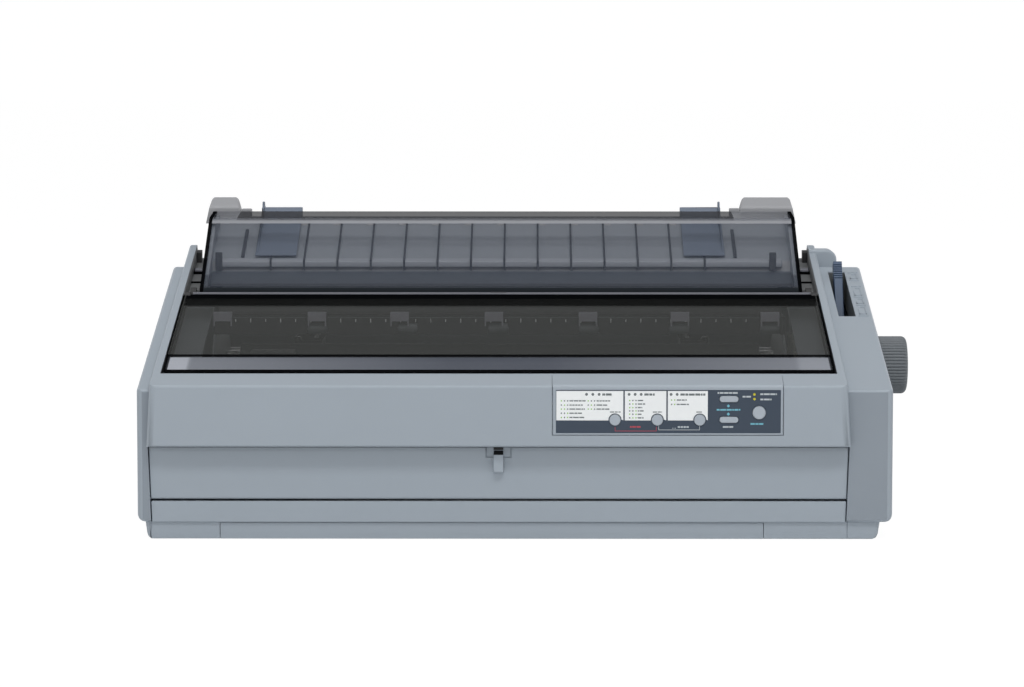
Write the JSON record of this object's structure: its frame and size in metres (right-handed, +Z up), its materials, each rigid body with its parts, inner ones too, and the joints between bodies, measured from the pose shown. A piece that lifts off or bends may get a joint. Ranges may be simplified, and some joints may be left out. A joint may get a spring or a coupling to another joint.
{
  "type": "dot matrix printer",
  "caption": "Wide-carriage dot matrix printer with a hinged smoked cover, tilting rear paper guide, tractors, platen knob, paper release lever and button panel.",
  "frame": {"origin": "centre of the footprint, on the surface that the rubber feet stand on", "axes": "+X to the right seen from the front, towards the platen knob; +Y from the front face to the rear; +Z up"},
  "size_m": [0.6364, 0.4032, 0.2562],
  "materials": {
    "case_plastic": "fine-textured cool grey moulding",
    "smoked_plastic": "smoked clear moulding",
    "guide_plastic": "mid grey moulding",
    "blue_plastic": "slate blue moulding",
    "panel_film": "printed slate film",
    "button_plastic": "pale grey moulding",
    "knob_plastic": "dark grey moulding",
    "black_plastic": "black moulding",
    "gear_plastic": "natural acetal",
    "lens_plastic": "clear light pipes",
    "board_laminate": "green circuit laminate",
    "plated_steel": "zinc-plated sheet",
    "bright_steel": "ground steel",
    "rubber_black": "black rubber",
    "ribbon_film": "inked nylon"
  },
  "bodies": {
    "casing": {"upper_case": "case_plastic", "lower_case": "case_plastic", "front_sill": "case_plastic", "base_front_panel": "case_plastic", "rubber_feet": "rubber_black", "case_screws": "plated_steel", "panel_bezel": "case_plastic", "panel_overlay": "panel_film", "panel_board": "board_laminate", "indicator_lights": "lens_plastic", "platen_bushes": "black_plastic", "main_frame": "plated_steel", "left_side_frame": "plated_steel", "right_side_frame": "plated_steel", "carriage_rod": "bright_steel", "carriage_rail": "bright_steel", "carriage_motor": "plated_steel", "timing_belt": "rubber_black", "ribbon_cartridge": "black_plastic", "ink_ribbon": "ribbon_film", "tension_unit": "black_plastic", "paper_pan": "plated_steel", "feed_motor": "plated_steel", "tractor_support_rod": "bright_steel", "main_board": "board_laminate", "power_supply": "plated_steel", "ac_inlet": "black_plastic", "rear_connectors": "plated_steel"},
    "front_cover": {"front_cover": "case_plastic"},
    "printer_cover": {"printer_cover": "smoked_plastic"},
    "paper_guide": {"paper_guide": "guide_plastic"},
    "guide_cover": {"paper_guide_cover": "smoked_plastic"},
    "edge_guide_left": {"edge_guide_left": "blue_plastic"},
    "edge_guide_right": {"edge_guide_right": "blue_plastic"},
    "button_font": {"button_font": "button_plastic"},
    "button_pitch": {"button_pitch": "button_plastic"},
    "button_tear_off": {"button_tear_off": "button_plastic"},
    "button_load_eject": {"button_load_eject": "button_plastic"},
    "button_line_feed": {"button_line_feed": "button_plastic"},
    "button_pause": {"button_pause": "button_plastic"},
    "release_lever": {"paper_release_lever": "blue_plastic"},
    "platen": {"platen_roller": "rubber_black", "platen_shaft": "bright_steel", "platen_knob": "knob_plastic", "platen_gear": "gear_plastic"},
    "carriage": {"carriage": "black_plastic", "print_head": "black_plastic"},
    "drive_pulley": {"drive_pulley": "bright_steel"},
    "idler_pulley": {"idler_pulley": "black_plastic"},
    "ribbon_knob": {"ribbon_knob": "blue_plastic"},
    "tension_rollers": {"tension_rollers": "knob_plastic"},
    "feed_pinion": {"feed_pinion": "bright_steel"},
    "reduction_gear": {"reduction_gear": "gear_plastic"},
    "transfer_gear": {"transfer_gear": "gear_plastic"},
    "tractor_shaft": {"tractor_shaft": "bright_steel"},
    "tractor_left": {"tractor_left": "black_plastic"},
    "tractor_right": {"tractor_right": "black_plastic"},
    "tractor_cover_left": {"tractor_cover_left": "smoked_plastic"},
    "tractor_cover_right": {"tractor_cover_right": "smoked_plastic"},
    "power_switch": {"power_switch": "black_plastic"}
  },
  "joints": [
    {"name": "printer_cover_hinge", "type": "hinge", "parent": "casing", "child": "printer_cover", "pos_m": [-0.0273, 0.0218, 0.17744], "axis": [-1, 0, 0], "range_deg": [0, 85]},
    {"name": "front_cover_hinge", "type": "hinge", "parent": "casing", "child": "front_cover", "pos_m": [-0.0273, -0.1839, 0.0345], "axis": [1, 0, 0], "range_deg": [0, 72]},
    {"name": "paper_guide_tilt", "type": "hinge", "parent": "casing", "child": "paper_guide", "pos_m": [-0.0273, 0.05, 0.18033], "axis": [1, 0, 0], "range_deg": [0, 30]},
    {"name": "guide_cover_hinge", "type": "hinge", "parent": "paper_guide", "child": "guide_cover", "pos_m": [-0.0273, 0.042, 0.18322], "axis": [-1, 0, 0], "range_deg": [-55, 0]},
    {"name": "edge_guide_left_slide", "type": "slide", "parent": "paper_guide", "child": "edge_guide_left", "axis": [1, 0, 0], "range_m": [-0.004, 0.08]},
    {"name": "edge_guide_right_slide", "type": "slide", "parent": "paper_guide", "child": "edge_guide_right", "axis": [1, 0, 0], "range_m": [-0.2, 0.006]},
    {"name": "button_font_press", "type": "slide", "parent": "casing", "child": "button_font", "axis": [0, 1, 0], "range_m": [0, 0.001], "stiffness_N_per_m": 300, "springref_m": -0.0008},
    {"name": "button_pitch_press", "type": "slide", "parent": "casing", "child": "button_pitch", "axis": [0, 1, 0], "range_m": [0, 0.001], "stiffness_N_per_m": 300, "springref_m": -0.0008},
    {"name": "button_tear_off_press", "type": "slide", "parent": "casing", "child": "button_tear_off", "axis": [0, 1, 0], "range_m": [0, 0.001], "stiffness_N_per_m": 300, "springref_m": -0.0008},
    {"name": "button_load_eject_press", "type": "slide", "parent": "casing", "child": "button_load_eject", "axis": [0, 1, 0], "range_m": [0, 0.001], "stiffness_N_per_m": 300, "springref_m": -0.0008},
    {"name": "button_line_feed_press", "type": "slide", "parent": "casing", "child": "button_line_feed", "axis": [0, 1, 0], "range_m": [0, 0.001], "stiffness_N_per_m": 300, "springref_m": -0.0008},
    {"name": "button_pause_press", "type": "slide", "parent": "casing", "child": "button_pause", "axis": [0, 1, 0], "range_m": [0, 0.001], "stiffness_N_per_m": 300, "springref_m": -0.0008},
    {"name": "release_lever_swing", "type": "hinge", "parent": "casing", "child": "release_lever", "pos_m": [0.26625, 0.031, 0.094], "axis": [1, 0, 0], "range_deg": [0, 46]},
    {"name": "platen_spin", "type": "hinge", "parent": "casing", "child": "platen", "pos_m": [-0.0273, 0.004, 0.123], "axis": [1, 0, 0], "continuous": true},
    {"name": "transfer_gear_spin", "type": "hinge", "parent": "casing", "child": "transfer_gear", "pos_m": [0.2242, 0.0465, 0.123], "axis": [1, 0, 0], "continuous": true},
    {"name": "tractor_shaft_spin", "type": "hinge", "parent": "casing", "child": "tractor_shaft", "pos_m": [-0.0273, 0.089, 0.123], "axis": [1, 0, 0], "continuous": true},
    {"name": "reduction_gear_spin", "type": "hinge", "parent": "casing", "child": "reduction_gear", "pos_m": [0.2242, -0.00208, 0.08853], "axis": [1, 0, 0], "continuous": true},
    {"name": "feed_pinion_spin", "type": "hinge", "parent": "casing", "child": "feed_pinion", "pos_m": [0.2242, -0.00208, 0.06753], "axis": [1, 0, 0], "continuous": true},
    {"name": "carriage_travel", "type": "slide", "parent": "casing", "child": "carriage", "axis": [1, 0, 0], "range_m": [0, 0.38]},
    {"name": "drive_pulley_spin", "type": "hinge", "parent": "casing", "child": "drive_pulley", "pos_m": [-0.2428, -0.101, 0.084], "axis": [0, 0, 1], "continuous": true},
    {"name": "idler_pulley_spin", "type": "hinge", "parent": "casing", "child": "idler_pulley", "pos_m": [0.1862, -0.101, 0.084], "axis": [0, 0, 1], "continuous": true},
    {"name": "ribbon_knob_spin", "type": "hinge", "parent": "casing", "child": "ribbon_knob", "pos_m": [-0.1958, -0.1145, 0.13], "axis": [0, 0, 1], "continuous": true},
    {"name": "tension_rollers_spin", "type": "hinge", "parent": "casing", "child": "tension_rollers", "pos_m": [-0.0273, -0.005, 0.1546], "axis": [1, 0, 0], "continuous": true},
    {"name": "tractor_left_slide", "type": "slide", "parent": "casing", "child": "tractor_left", "axis": [1, 0, 0], "range_m": [-0.03, 0.05]},
    {"name": "tractor_right_slide", "type": "slide", "parent": "casing", "child": "tractor_right", "axis": [1, 0, 0], "range_m": [-0.05, 0.03]},
    {"name": "tractor_cover_left_hinge", "type": "hinge", "parent": "tractor_left", "child": "tractor_cover_left", "pos_m": [-0.2043, 0.1045, 0.138], "axis": [0, -1, 0], "range_deg": [0, 95]},
    {"name": "tractor_cover_right_hinge", "type": "hinge", "parent": "tractor_right", "child": "tractor_cover_right", "pos_m": [0.1497, 0.1045, 0.138], "axis": [0, 1, 0], "range_deg": [0, 95]},
    {"name": "power_switch_rock", "type": "hinge", "parent": "casing", "child": "power_switch", "pos_m": [-0.3128, -0.097, 0.0732], "axis": [0, 1, 0], "range_deg": [0, 12]}
  ],
  "couplings": [
    {"joint": "transfer_gear_spin", "follows": "platen_spin", "ratio": -0.88889},
    {"joint": "tractor_shaft_spin", "follows": "platen_spin", "ratio": 1},
    {"joint": "reduction_gear_spin", "follows": "platen_spin", "ratio": -1.3333},
    {"joint": "feed_pinion_spin", "follows": "platen_spin", "ratio": 3.3333},
    {"joint": "drive_pulley_spin", "follows": "carriage_travel", "rad_per_m": -125},
    {"joint": "idler_pulley_spin", "follows": "carriage_travel", "rad_per_m": -125}
  ]
}
